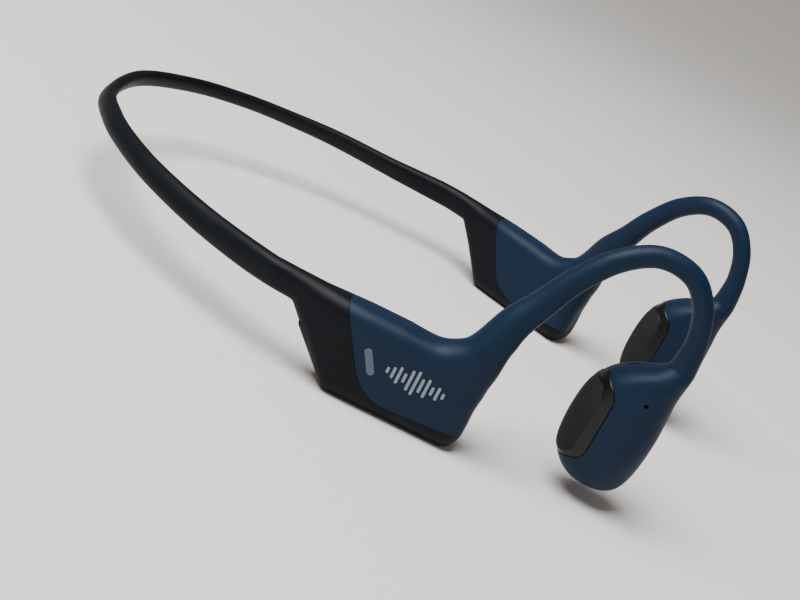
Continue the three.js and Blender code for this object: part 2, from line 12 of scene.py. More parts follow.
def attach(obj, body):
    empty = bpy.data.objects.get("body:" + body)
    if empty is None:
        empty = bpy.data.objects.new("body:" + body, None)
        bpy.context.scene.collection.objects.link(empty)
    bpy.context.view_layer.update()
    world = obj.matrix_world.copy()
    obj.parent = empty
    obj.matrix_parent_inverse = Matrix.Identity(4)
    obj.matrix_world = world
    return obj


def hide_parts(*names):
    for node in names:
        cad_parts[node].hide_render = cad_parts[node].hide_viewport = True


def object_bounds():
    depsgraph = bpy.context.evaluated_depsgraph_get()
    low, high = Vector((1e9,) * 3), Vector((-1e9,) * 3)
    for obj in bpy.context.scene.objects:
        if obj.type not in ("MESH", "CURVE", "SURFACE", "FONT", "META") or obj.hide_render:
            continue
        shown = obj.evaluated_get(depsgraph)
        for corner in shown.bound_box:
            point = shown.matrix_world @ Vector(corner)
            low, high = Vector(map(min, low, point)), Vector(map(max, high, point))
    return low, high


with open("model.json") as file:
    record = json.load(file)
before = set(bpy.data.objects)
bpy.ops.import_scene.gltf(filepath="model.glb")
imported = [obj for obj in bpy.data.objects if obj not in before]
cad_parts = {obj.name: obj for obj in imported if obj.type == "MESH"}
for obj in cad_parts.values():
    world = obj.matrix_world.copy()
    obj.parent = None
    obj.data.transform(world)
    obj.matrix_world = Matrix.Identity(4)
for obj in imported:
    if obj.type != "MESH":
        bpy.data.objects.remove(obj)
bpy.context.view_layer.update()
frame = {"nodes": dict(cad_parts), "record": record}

MM = 0.001
RIGHT, LEFT = "right", "left"

# ---------- dimensions of the shells, in millimetres ----------

SEAM = 0.12  # visible gap between two mouldings
NECK_SEAM = 0.03  # hairline between hook and housing, and between cap and band
WALL = 1.3
CASE_X, CASE_YAW, CASE_HEIGHT, CASE_HALF = 43.4, 0.262, 18.6, 4.7
CASE_FRONT, BOTTOM_END, SLANT_END, CAP_END, TAIL_END, TAIL_BEND = -1.6, 26.4, 38.2, 43.0, 43.6, 1.6
TAIL_HALF = 2.15
BAND_UNDERSIDE, EDGE_RADIUS = 12.5, 3.3
CAPSULE_X, CAPSULE_LIFT, CAPSULE_FRONT, FRONT_NARROWING = 31.0, 3.7, -33.2, 0.2

BAND_STATIONS = [  # centre, half height, half thickness, tilt
    ((-52.05, 33.9, 15.55), 3.0, 2.2, 0.0),
    ((-53.2, 44.0, 15.5), 2.98, 2.13, 0.05),
    ((-49.9, 60.0, 15.35), 2.78, 1.76, 0.45),
    ((-44.8, 75.7, 15.9), 2.58, 1.6, 0.57),
    ((-38.3, 87.4, 16.2), 2.42, 1.45, 0.65),
    ((-30.5, 97.3, 16.5), 2.3, 1.4, 0.65),
    ((-18.9, 106.4, 16.6), 2.16, 1.45, 0.55),
    ((0.0, 110.8, 17.1), 2.08, 1.55, 0.36),
]
HOOK_STATIONS = [  # centre, half width, half thickness
    ((-44.3, 4.4, 8.0), 5.2, 3.6),
    ((-44.5, 4.4, 11.0), 6.5, 4.1),
    ((-44.5, 3.9, 15.0), 6.8, 4.4),
    ((-44.2, 2.2, 18.0), 5.4, 4.25),
    ((-43.9, 1.5, 20.7), 4.4, 3.95),
    ((-43.3, 0.7, 23.8), 3.8, 3.6),
    ((-42.3, -0.4, 27.8), 3.35, 3.2),
    ((-40.8, -2.9, 33.0), 2.8, 2.75),
    ((-39.3, -5.8, 39.2), 2.48, 2.43),
    ((-37.2, -10.5, 46.0), 2.27, 2.27),
    ((-34.6, -16.7, 50.1), 2.12, 2.16),
    ((-32.7, -23.4, 49.6), 2.05, 2.05),
    ((-31.6, -27.8, 45.2), 2.0, 2.05),
    ((-31.1, -30.0, 39.0), 2.15, 2.15),
    ((-31.0, -30.4, 33.3), 2.63, 2.6),
]
CAPSULE_SECTIONS = [  # height over its lowest point, front, rear, half thickness
    (0, -27.7, -22.8, 2.15),
    (0.6, -29.6, -20.9, 3.9),
    (2.05, -31.3, -18.8, 5.3),
    (4.7, -32.4, -16.9, 6.2),
    (8.6, -33.0, -16.1, 6.7),
    (13.95, -33.2, -16.0, 6.8),
    (18.35, -33.0, -16.6, 6.6),
    (22.25, -32.7, -18.5, 6.05),
    (25.15, -32.8, -21.8, 5.2),
    (27.3, -33.0, -25.7, 4.0),
    (29.15, -33.1, -27.8, 2.75),
]
HOUSING_HOLLOW = 0.2, 0.86  # start and end of the hollow along CAPSULE_SECTIONS, from 0 to 1
PAD_FRONT, PAD_BOTTOM, PAD_TOP, PAD_CORNER, PAD_HALF, PAD_FACE_RADIUS = -22.9, 7.2, 26.1, 4.5, 7.5, 5.5
PAD_GROW = 0.2  # the pad's space is this much larger all round before its corners are softened
FACE_FRONT, FACE_BOTTOM, FACE_TOP, FACE_CORNER, FACE_LIFT = -20.9, 8.0, 24.5, 3.6, 0.16
FACE_STEP = 0.7  # width of the rise from the pad's smooth side to its grained face
LIGHT_PLACE, LIGHT_TILT, LIGHT_WIDTH, LIGHT_LENGTH = (20.3, 10.2), -0.52, 1.5, 5.4
PORT_ACROSS, PORT_ALONG, PORT_RADIUS, PIN_PITCH, PIN_RADIUS = 4.2, 9.6, 1.0, 2.6, 0.75
BUTTON_CENTRES, BUTTON_LENGTH, BUTTON_WIDTH, BUTTON_GAP, BUTTON_RECESS = (8.9, 18.9), 9.6, 3.6, 0.4, 0.1
MULTI_PLACE, MULTI_WIDTH, MULTI_HEIGHT = (-28.1, 15.8), 5.2, 9.6
MULTI_OUT, MULTI_HOLE_REACH, MULTI_CAP_REACH = 8, 5, 3.6  # middle and half depths of the cutting prisms
MIC_PLACE, MIC_RADIUS = (-28.35, 24.9), 0.42
VENTS = ((-22.0, 29.3, -0.6, 2.8), (-22.6, 3.9, 0.31, 2.6))  # y, z, tilt and length of a transducer's slots
VENT_WIDTH, VENT_RADIUS = 0.62, 0.3
CHANNEL_END, CHANNEL_RADIUS = (-CAPSULE_X, -28.95, CAPSULE_LIFT + 24.4), 1.2
MARK_HEIGHTS = (1.3, 2.4, 3.6, 2.0, 4.4, 5.2, 3.0, 4.0, 1.8, 2.8, 1.3)
MARK_REAR, MARK_PITCH, MARK_WIDTH, MARK_MIDDLE = 16.6, 1.13, 0.56, 10.4

# The shapes are laid out with y = 0 near the front of the cases. The frame's foremost point places them.
SHIFT = Vector((0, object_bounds()[0].y - CAPSULE_FRONT * MM, 0))


# ---------- mesh tools ----------

def catmull(points, t):
    """Point at t (0 to 1) on a Catmull-Rom line through rows of numbers."""
    points = np.asarray(points, float)
    last = len(points) - 1
    place = min(max(t, 0.0), 1.0) * last
    i = min(int(place), last - 1)
    u = place - i
    p0 = points[i - 1] if i > 0 else 2 * points[0] - points[1]
    p3 = points[i + 2] if i + 2 <= last else 2 * points[last] - points[last - 1]
    p1, p2 = points[i], points[i + 1]
    return 0.5 * (2 * p1 + (p2 - p0) * u + (2 * p0 - 5 * p1 + 4 * p2 - p3) * u ** 2
                  + (3 * p1 - p0 - 3 * p2 + p3) * u ** 3)


def unit(v):
    return v / np.linalg.norm(v)


def ring(centre, u, v, half_u, half_v, radius, arc_steps=10):
    """Rounded rectangle about centre, anticlockwise about u x v."""
    r = min(radius, 0.985 * half_u, 0.985 * half_v)
    points = []
    for quarter in range(4):
        sign_u = 1 if quarter in (0, 3) else -1
        sign_v = 1 if quarter < 2 else -1
        for i in range(arc_steps + 1):
            angle = (quarter + i / arc_steps) * math.pi / 2
            along_u = sign_u * (half_u - r) + r * math.cos(angle)
            along_v = sign_v * (half_v - r) + r * math.sin(angle)
            points.append(np.asarray(centre) + np.asarray(u) * along_u + np.asarray(v) * along_v)
    return points


def new_object(name, points, faces):
    mesh = bpy.data.meshes.new(name)
    mesh.from_pydata([Vector(p) * MM for p in points], [], faces)
    mesh.update()
    made = bpy.data.objects.new(name, mesh)
    bpy.context.scene.collection.objects.link(made)
    return made


def loft(name, rings):
    """Closed skin over rings of equal count."""
    count = len(rings[0])
    points = [p for one in rings for p in one]
    faces = []
    for i in range(len(rings) - 1):
        for j in range(count):
            a, b = i * count + j, i * count + (j + 1) % count
            faces.append((a, b, b + count, a + count))
    faces.append(tuple(reversed(range(count))))
    faces.append(tuple(range(len(points) - count, len(points))))
    return new_object(name, points, faces)


def outline_prism(name, outline, half_depth, axis="x"):
    """Prism of an outline in the side plane (y, z) along x, or of one in (x, z) along y."""
    count = len(outline)
    place = (lambda a, b, d: (d, a, b)) if axis == "x" else (lambda a, b, d: (a, d, b))
    points = [place(a, b, -half_depth) for a, b in outline] + [place(a, b, half_depth) for a, b in outline]
    faces = [(i, (i + 1) % count, (i + 1) % count + count, i + count) for i in range(count)]
    faces += [tuple(reversed(range(count))), tuple(range(count, 2 * count))]
    made = new_object(name, points, faces)
    fix_normals(made)
    return made


def fix_normals(obj):
    work = bmesh.new()
    work.from_mesh(obj.data)
    bmesh.ops.recalc_face_normals(work, faces=work.faces)
    work.to_mesh(obj.data)
    work.free()


def apply_modifiers(obj):
    graph = bpy.context.evaluated_depsgraph_get()
    mesh = bpy.data.meshes.new_from_object(obj.evaluated_get(graph))
    obj.modifiers.clear()
    obj.data = mesh
    return obj


def boolean(obj, operation, *tools, keep=False):
    for tool in tools:
        step = obj.modifiers.new("boolean", "BOOLEAN")
        step.operation = operation
        step.solver = "EXACT"
        step.object = tool
        apply_modifiers(obj)
        if not keep:
            bpy.data.objects.remove(tool)
    return obj


def copy_of(obj, name):
    made = bpy.data.objects.new(name, obj.data.copy())
    bpy.context.scene.collection.objects.link(made)
    return made


def remesh(obj, voxel):
    step = obj.modifiers.new("remesh", "REMESH")
    step.mode = "VOXEL"
    step.voxel_size = voxel * MM
    return apply_modifiers(obj)


def relax(obj, rounds, factor=0.5, weights=None):
    """Smooths the mesh, everywhere or by a weight for each vertex."""
    step = obj.modifiers.new("smooth", "SMOOTH")
    step.factor = factor
    step.iterations = rounds
    if weights is not None:
        group = obj.vertex_groups.new(name="weight")
        for i, weight in enumerate(weights):
            if weight > 0.001:
                group.add([i], float(weight), "REPLACE")
        step.vertex_group = group.name
    apply_modifiers(obj)
    obj.vertex_groups.clear()
    return obj


def coordinates(obj):
    values = np.zeros(len(obj.data.vertices) * 3)
    obj.data.vertices.foreach_get("co", values)
    return values.reshape(-1, 3) / MM


def shade_smooth(obj):
    obj.data.polygons.foreach_set("use_smooth", [True] * len(obj.data.polygons))
    obj.data.update()


def move(obj, matrix):
    obj.data.transform(matrix)
    obj.data.update()
    return obj


def mirror(obj):
    """Turns a right-side mesh into the left one."""
    obj.data.transform(Matrix.Scale(-1, 4, (1, 0, 0)))
    obj.data.flip_normals()
    obj.data.update()
    return obj


CASE_MATRIX = Matrix.Translation((-CASE_X * MM, 0, 0)) @ Matrix.Rotation(CASE_YAW, 4, "Z")
LAYOUT = Matrix.Translation(SHIFT)
SLANT_ANGLE = math.atan2(BAND_UNDERSIDE, SLANT_END - BOTTOM_END)
PORT_PLACE = Vector((0, (BOTTOM_END + SLANT_END) / 2, BAND_UNDERSIDE / 2)) * MM
PORT_MATRIX = CASE_MATRIX @ Matrix.Translation(PORT_PLACE) @ Matrix.Rotation(SLANT_ANGLE - math.pi, 4, "X")
UP, SIDE, BACK = np.array((0, 0, 1.0)), np.array((1.0, 0, 0)), np.array((0, 1.0, 0))


# ---------- shapes ----------

def smoothstep(x, low, high):
    t = min(max((x - low) / (high - low), 0), 1)
    return t * t * (3 - 2 * t)


def case_section(y, inset, edge=0.0):
    slope = BAND_UNDERSIDE / (SLANT_END - BOTTOM_END)
    slant = min(max(y - BOTTOM_END, 0), SLANT_END - BOTTOM_END) * slope
    low = slant + (inset * math.hypot(1, slope) if slant > 0 else inset) + edge
    high = CASE_HEIGHT - inset - edge
    taper = smoothstep(y, BOTTOM_END - 4, TAIL_END)
    half = CASE_HALF - taper * (CASE_HALF - TAIL_HALF) - inset - edge
    bend = TAIL_BEND * max(0, (y - BOTTOM_END) / (TAIL_END - BOTTOM_END)) ** 2
    radius = max(EDGE_RADIUS - inset, 0.8)
    return ring((bend, y, (low + high) / 2), UP, SIDE, (high - low) / 2, half, radius)


def case_body(inset, to, steps=60):
    start, rounding = CASE_FRONT + inset, EDGE_RADIUS - inset
    rings = []
    for i in range(9):
        angle = 0.15 + (math.pi / 2 - 0.15) * i / 8
        along, edge = rounding * (1 - math.cos(angle)), rounding * (1 - math.sin(angle))
        rings.append(case_section(start + along, inset, edge))
    first = start + rounding
    for i in range(1, steps + 1):
        rings.append(case_section(first + (to - first) * i / steps, inset))
    return move(loft("case", rings), CASE_MATRIX)


def hook_frame(t, places):
    """Wide and thin axis of the hook's section at t, from 0 to 1."""
    tangent = unit(catmull(places, t + 0.004) - catmull(places, t - 0.004))
    wide = unit(np.cross(np.array((1, 0.3, 0)), tangent))
    return wide, np.cross(tangent, wide)


def hook_body(stations, steps=180):
    places = [s[0] for s in stations]
    sizes = [s[1:] for s in stations]
    rings = []
    for i in range(steps + 1):
        t = i / steps
        wide, thin = hook_frame(min(max(t, 0.004), 0.996), places)
        half_wide, half_thin = catmull(sizes, t)
        rings.append(ring(catmull(places, t), wide, thin, half_wide, half_thin, min(half_wide, half_thin)))
    return loft("hook", rings)


def band_frame(t):
    """Centre, tall axis, thin axis, half height and half thickness of the band at t, from 0 to 1."""
    places = [s[0] for s in BAND_STATIONS]
    places += [(-x, y, z) for x, y, z in reversed(places[:-1])]
    t_in = min(max(t, 0.003), 0.997)
    tangent = unit(catmull(places, t_in + 0.003) - catmull(places, t_in - 0.003))
    half_tall, half_thin, tilt = catmull([s[1:] for s in BAND_STATIONS], 1 - abs(2 * t - 1))
    inward = unit(np.cross(tangent, UP))
    up = np.cross(inward, tangent)
    tall = up * math.cos(tilt) + inward * math.sin(tilt)
    thin = inward * math.cos(tilt) - up * math.sin(tilt)
    return catmull(places, t), tall, thin, half_tall, half_thin


def bulge(value, power=0.84):
    """Makes an ellipse a little squarer."""
    return math.copysign(abs(value) ** power, value)


def band_body(end=1.0, steps=360):
    rings = []
    for i in range(steps + 1):
        centre, tall, thin, half_tall, half_thin = band_frame(end * i / steps)
        turns = [2 * math.pi * k / 48 for k in range(48)]
        rings.append([centre + tall * half_tall * bulge(math.cos(a)) + thin * half_thin * bulge(math.sin(a))
                      for a in turns])
    return loft("band", rings)


def half_space(name, beyond):
    """Block that covers everything before a distance along the right case."""
    outline = [(beyond - 100, -60), (beyond, -60), (beyond, 60), (beyond - 100, 60)]
    return move(outline_prism(name, outline, 20), CASE_MATRIX)


def arc(cx, cy, radius, start, end, steps=10):
    turns = [start + (end - start) * i / steps for i in range(steps + 1)]
    return [(cx + radius * math.cos(a), cy + radius * math.sin(a)) for a in turns]


def rounded(width, height, radius, cx=0.0, cy=0.0, steps=10):
    w, h, quarter = width / 2 - radius, height / 2 - radius, math.pi / 2
    return (arc(cx + w, cy - h, radius, -quarter, 0, steps) + arc(cx + w, cy + h, radius, 0, quarter, steps)
            + arc(cx - w, cy + h, radius, quarter, 2 * quarter, steps)
            + arc(cx - w, cy - h, radius, 2 * quarter, 3 * quarter, steps))


def cap_region(shift):
    """Side-plane region of the black cap and bottom strip, moved off the blue skin by shift."""
    start, control, end = (22.3, 8.0), (19.2, 2.8), (13.6, 2.9)
    outline = [(34, 60), (29.0, 19.2)]
    for i in range(13):
        t = i / 12
        outline.append(tuple((1 - t) ** 2 * a + 2 * t * (1 - t) * b + t * t * c
                             for a, b, c in zip(start, control, end)))
    outline += [(-0.6, 4.0), (-60, 8), (-60, -60), (60, -60), (60, 60)]
    outline = [(y + shift, z - shift) for y, z in outline]
    return move(outline_prism("cap_region", outline, 20), CASE_MATRIX)


def capsule_body(inset=0.0, steps=90):
    rings = []
    low, high = (0.0, 1.0) if inset == 0 else HOUSING_HOLLOW
    for i in range(steps + 1):
        height, front, rear, half = catmull(CAPSULE_SECTIONS, low + (high - low) * i / steps)
        depth, thick = (rear - front) / 2 - inset, half - inset
        middle = (front + rear) / 2
        centre = (-CAPSULE_X, middle, height + CAPSULE_LIFT)
        points = ring(centre, SIDE, BACK, thick, depth, 0.88 * min(thick, depth), 14)
        for point in points:
            narrowing = FRONT_NARROWING * max(0, (middle - point[1]) / depth)
            point[0] = (point[0] + CAPSULE_X) * (1 - narrowing) - CAPSULE_X
        rings.append(points)
    return loft("capsule", rings)


def pad_region():
    """Space that the pad takes out of the transducer's skin, with soft corners."""
    height, middle, depth = PAD_TOP - PAD_BOTTOM + 2 * PAD_GROW, (PAD_TOP + PAD_BOTTOM) / 2, 24
    outline = rounded(depth, height, PAD_CORNER, PAD_FRONT - PAD_GROW + depth / 2, middle)
    side = outline_prism("pad_side", outline, 12)
    move(side, Matrix.Translation((-CAPSULE_X * MM, 0, 0)))
    face = rounded(2 * PAD_HALF + 2 * PAD_GROW, height, PAD_FACE_RADIUS, -CAPSULE_X, middle)
    region = boolean(side, "INTERSECT", outline_prism("pad_face", face, 60, axis="y"))
    remesh(region, 0.5)
    relax(region, 14)
    return region


def grown(obj, distance):
    normals = [v.normal.copy() for v in obj.data.vertices]
    for vertex, normal in zip(obj.data.vertices, normals):
        vertex.co += normal * distance * MM
    obj.data.update()
    return obj


def tube(name, points, radius, sides=16):
    rings = []
    for i, point in enumerate(points):
        ahead, behind = points[min(i + 1, len(points) - 1)], points[max(i - 1, 0)]
        tangent = unit(np.subtract(ahead, behind))
        u = unit(np.cross(tangent, (0.3, 0.1, 1.0)))
        rings.append(ring(point, u, np.cross(tangent, u), radius, radius, radius, sides // 4))
    return loft(name, rings)


def block(name, low, high):
    outline = [(low[1], low[2]), (high[1], low[2]), (high[1], high[2]), (low[1], high[2])]
    made = outline_prism(name, outline, (high[0] - low[0]) / 2)
    return move(made, Matrix.Translation(((low[0] + high[0]) / 2 * MM, 0, 0)))


def plate(name, outline, low, high, place=Matrix.Identity(4), bevel=0.0):
    """Plate with an outline in x and y, between two heights along z, with its rims rounded by bevel."""
    count = len(outline)
    points = [(a, b, low) for a, b in outline] + [(a, b, high) for a, b in outline]
    faces = [(i, (i + 1) % count, (i + 1) % count + count, i + count) for i in range(count)]
    faces += [tuple(reversed(range(count))), tuple(range(count, 2 * count))]
    made = new_object(name, points, faces)
    if bevel:
        step = made.modifiers.new("bevel", "BEVEL")
        step.width, step.segments, step.limit_method = bevel * MM, 4, "ANGLE"
        apply_modifiers(made)
    return move(made, place)


def lathe(name, profile, place, sides=40):
    """Solid of revolution about z from rows of radius and height, from the axis round to the axis."""
    rings = []
    for radius, height in profile:
        turns = [2 * math.pi * i / sides for i in range(sides)]
        rings.append([(radius * math.cos(a), radius * math.sin(a), height) for a in turns])
    made = loft(name, rings)
    fix_normals(made)
    return move(made, place)


def join_meshes(name, *objects):
    points, faces = [], []
    for obj in objects:
        offset = len(points)
        points += [v.co / MM for v in obj.data.vertices]
        faces += [tuple(i + offset for i in p.vertices) for p in obj.data.polygons]
        bpy.data.objects.remove(obj)
    return new_object(name, points, faces)


def finish_piece(obj, name, nodes, slot_name, body="headset", sharp=38):
    obj.name = name
    obj.data.name = name
    shade_smooth(obj)
    obj.data.set_sharp_from_angle(angle=math.radians(sharp))
    move(obj, LAYOUT)
    obj.data.materials.clear()
    for material in MATERIALS[slot_name]:
        obj.data.materials.append(material)
    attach(obj, body)
    if nodes:
        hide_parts(*nodes)
    return obj


# ---------- materials ----------

def material(name, colour, rough, **settings):
    made = bpy.data.materials.new(name)
    made.use_nodes = True
    shader = made.node_tree.nodes["Principled BSDF"]
    shader.inputs["Base Color"].default_value = (*colour, 1)
    shader.inputs["Roughness"].default_value = rough
    for key, value in settings.items():
        shader.inputs[key.replace("_", " ")].default_value = value
    return made, made.node_tree, shader


def noise_texture(tree, scale, detail=2.0, stretch=(1, 1, 1)):
    """Noise in the object's own space; scale is in features for each metre."""
    place = tree.nodes.new("ShaderNodeTexCoord")
    mapping = tree.nodes.new("ShaderNodeMapping")
    mapping.inputs["Scale"].default_value = stretch
    texture = tree.nodes.new("ShaderNodeTexNoise")
    texture.inputs["Scale"].default_value = scale
    texture.inputs["Detail"].default_value = detail
    tree.links.new(place.outputs["Object"], mapping.inputs["Vector"])
    tree.links.new(mapping.outputs["Vector"], texture.inputs["Vector"])
    return texture


def ramp(tree, source, low, high, start=0.3, end=0.7):
    node = tree.nodes.new("ShaderNodeMapRange")
    node.inputs["From Min"].default_value = start
    node.inputs["From Max"].default_value = end
    node.inputs["To Min"].default_value = low
    node.inputs["To Max"].default_value = high
    tree.links.new(source, node.inputs["Value"])
    return node.outputs["Result"]


def vary_colour(tree, shader, texture, first, second):
    mix = tree.nodes.new("ShaderNodeMix")
    mix.data_type = "RGBA"
    mix.inputs["A"].default_value = (*first, 1)
    mix.inputs["B"].default_value = (*second, 1)
    tree.links.new(texture.outputs["Fac"], mix.inputs["Factor"])
    tree.links.new(mix.outputs["Result"], shader.inputs["Base Color"])


def add_bump(tree, shader, texture, distance, strength=0.4):
    bump = tree.nodes.new("ShaderNodeBump")
    bump.inputs["Distance"].default_value = distance
    bump.inputs["Strength"].default_value = strength
    tree.links.new(texture.outputs["Fac"], bump.inputs["Height"])
    tree.links.new(bump.outputs["Normal"], shader.inputs["Normal"])


def moulded(name, first, second, rough, spread, grain, depth, **settings):
    """Moulded skin: cloudy colour and roughness, and a fine spark-eroded grain."""
    made, tree, shader = material(name, first, rough, **settings)
    clouds = noise_texture(tree, 90, 3)
    vary_colour(tree, shader, clouds, first, second)
    smears = noise_texture(tree, 240, 4, (1, 0.4, 1))
    roughness = ramp(tree, smears.outputs["Fac"], rough - spread, rough + spread)
    tree.links.new(roughness, shader.inputs["Roughness"])
    fine = noise_texture(tree, grain, 2)
    add_bump(tree, shader, fine, depth)
    return made


def metal(name, colour, rough, stretch=(1, 1, 1), grain=4000):
    made, tree, shader = material(name, colour, rough, Metallic=1.0)
    lines = noise_texture(tree, grain, 2, stretch)
    tree.links.new(ramp(tree, lines.outputs["Fac"], rough * 0.7, rough * 1.4), shader.inputs["Roughness"])
    add_bump(tree, shader, lines, 0.00001, 0.3)
    return made


MATERIALS = {
    "soft_touch_blue": [moulded(
        "soft_touch_blue", (0.0026, 0.0115, 0.0300), (0.0036, 0.0150, 0.0385), 0.50, 0.05, 9000, 0.00002,
        Specular_IOR_Level=0.16)],
    "soft_touch_black": [moulded(
        "soft_touch_black", (0.0018, 0.0028, 0.0050), (0.0027, 0.0039, 0.0066), 0.48, 0.05, 9000, 0.00002,
        Specular_IOR_Level=0.13)],
    "band_silicone": [moulded(
        "band_silicone", (0.0020, 0.0032, 0.0056), (0.0030, 0.0044, 0.0074), 0.48, 0.05, 7000, 0.00002,
        Specular_IOR_Level=0.13)],
    "pad_rubber": [
        moulded("pad_face", (0.0065, 0.0076, 0.0080), (0.0140, 0.0155, 0.0160), 0.85, 0.06, 2600, 0.00012,
                Specular_IOR_Level=0.2),
        moulded("pad_side", (0.0016, 0.0022, 0.0030), (0.0024, 0.0032, 0.0042), 0.36, 0.05, 6000, 0.00002,
                Specular_IOR_Level=0.30)],
    "light_window": [moulded(
        "light_window", (0.060, 0.090, 0.125), (0.072, 0.106, 0.145), 0.3, 0.04, 3000, 0.00001,
        Specular_IOR_Level=0.3)],
    "inner_plastic": [moulded(
        "inner_plastic", (0.006, 0.0065, 0.007), (0.010, 0.0105, 0.011), 0.5, 0.08, 5000, 0.00002,
        Specular_IOR_Level=0.3)],
    "circuit_board": [moulded(
        "circuit_board", (0.010, 0.080, 0.030), (0.020, 0.130, 0.050), 0.4, 0.08, 1200, 0.00002)],
    "battery_foil": [metal("battery_foil", (0.55, 0.57, 0.60), 0.35, (1, 1, 1), 1500)],
    "spring_steel": [metal("spring_steel", (0.52, 0.53, 0.55), 0.30, (1, 12, 1))],
    "memory_alloy": [metal("memory_alloy", (0.42, 0.43, 0.45), 0.35)],
    "contact_gold": [metal("contact_gold", (0.83, 0.58, 0.24), 0.22)],
    "copper_wire": [metal("copper_wire", (0.70, 0.30, 0.14), 0.30, (12, 12, 1))],
    "printed_ink": [moulded(
        "printed_ink", (0.200, 0.245, 0.285), (0.225, 0.270, 0.310), 0.55, 0.05, 6000, 0.00001,
        Specular_IOR_Level=0.2)],
}

for entry in frame["record"]["subparts"]:
    node = frame["nodes"][entry["node"]]
    node.data.materials.clear()
    node.data.materials.append(MATERIALS[entry["material_slot"]][0])


# ---------- shells, made for the right side and mirrored for the left ----------

FULL_VOXEL = 0.27
FINE = FULL_VOXEL
NECK_TOP = CAPSULE_LIFT + CAPSULE_SECTIONS[-1][0]  # height of the joint between hook and housing
# Spots where two bodies run into each other: centre, reach, rounds of smoothing.
VALLEY = (-43.8, 8.5, 19.0), 8.0, 320
FOOT = (-44.3, -2.0, 15.0), 8.5, 260
NECK = (-31.0, -29.0, 32.4), 4.5, 40
JOINT = (-53.0, 41.5, 15.5), 6.5, 45


def whole_side():
    """Case, hook, transducer and the start of the band as one skin, with soft valleys where they meet."""
    root = [((-31.0, -30.35, 30.5), 2.6, 2.6)]
    both = join_meshes("whole", case_body(0, CAP_END), hook_body(HOOK_STATIONS + root), capsule_body(),
                       band_body(0.12, 90))
    remesh(both, FINE)
    relax(both, 6)
    for spot in (VALLEY, NECK, FOOT, JOINT):
        soften(both, *spot)
    return both


def soften(obj, centre, reach, rounds):
    far = np.linalg.norm((coordinates(obj) - centre) * (0.6, 1, 1), axis=1)
    relax(obj, int(rounds * (FULL_VOXEL / FINE) ** 2), 0.6, np.clip(1.6 * (1 - far / reach), 0, 1))


def light_hole(grow, half_depth):
    outline = rounded(LIGHT_WIDTH + 2 * grow, LIGHT_LENGTH + 2 * grow, LIGHT_WIDTH / 2 + grow - 0.01)
    made = outline_prism("light", outline, half_depth)
    place = Matrix.Translation(Vector((-CASE_HALF, *LIGHT_PLACE)) * MM)
    return move(made, CASE_MATRIX @ (place @ Matrix.Rotation(LIGHT_TILT, 4, "X")))


def hook_channel():
    places = [s[0] for s in HOOK_STATIONS[3:]]
    line = [catmull(places, t) for t in np.linspace(0, 1, 60)]
    return tube("channel", line + [CHANNEL_END], CHANNEL_RADIUS)


def build_case(side, whole):
    hollow = case_body(WALL, SLANT_END)
    cap = boolean(copy_of(whole, "cap"), "INTERSECT", cap_region(0))
    boolean(cap, "DIFFERENCE", hollow, keep=True)
    skin = boolean(whole, "DIFFERENCE", cap_region(-SEAM / 2), hollow)
    if side == RIGHT:
        window = boolean(copy_of(skin, "window"), "INTERSECT", light_hole(0, 0.9))
        boolean(skin, "DIFFERENCE", light_hole(SEAM / 2, 3))
        middle = sum(BUTTON_CENTRES) / 2
        length = BUTTON_CENTRES[1] - BUTTON_CENTRES[0] + BUTTON_LENGTH + BUTTON_GAP
        slot = plate("slot", rounded(BUTTON_WIDTH, length, 1.2, 0, middle), -2, 2, CASE_MATRIX)
        around = rounded(PORT_ACROSS + 2 * SEAM, PORT_ALONG + 2 * SEAM, PORT_RADIUS + SEAM)
        port = plate("port", around, -4, 4, PORT_MATRIX)
        boolean(cap, "DIFFERENCE", slot, port)
        finish_piece(window, "light_window", ["status_light_pipe"], "light_window")
    else:
        mirror(cap)
        mirror(skin)
    finish_piece(skin, side + "_skin", [side + "_case_and_hook_skin"], "soft_touch_blue")
    finish_piece(cap, side + "_cap", [side + "_rear_cap"], "soft_touch_black")


def raise_pad_face(pad):
    """Lifts the grained face a little over the pad's smooth side and returns how far inside each point is."""
    middle, half = (FACE_TOP + FACE_BOTTOM) / 2, (FACE_TOP - FACE_BOTTOM) / 2 - FACE_CORNER
    places = coordinates(pad)
    across = np.maximum(FACE_FRONT + FACE_CORNER - places[:, 1], 0)
    along = np.maximum(np.abs(places[:, 2] - middle) - half, 0)
    inside = FACE_CORNER - np.hypot(across, along)
    lift = np.clip(inside / FACE_STEP + 0.5, 0, 1)
    lift = lift * lift * (3 - 2 * lift) * FACE_LIFT
    normals = [v.normal.copy() for v in pad.data.vertices]
    for vertex, normal, height in zip(pad.data.vertices, normals, lift):
        vertex.co += normal * float(height) * MM
    pad.data.update()
    return inside


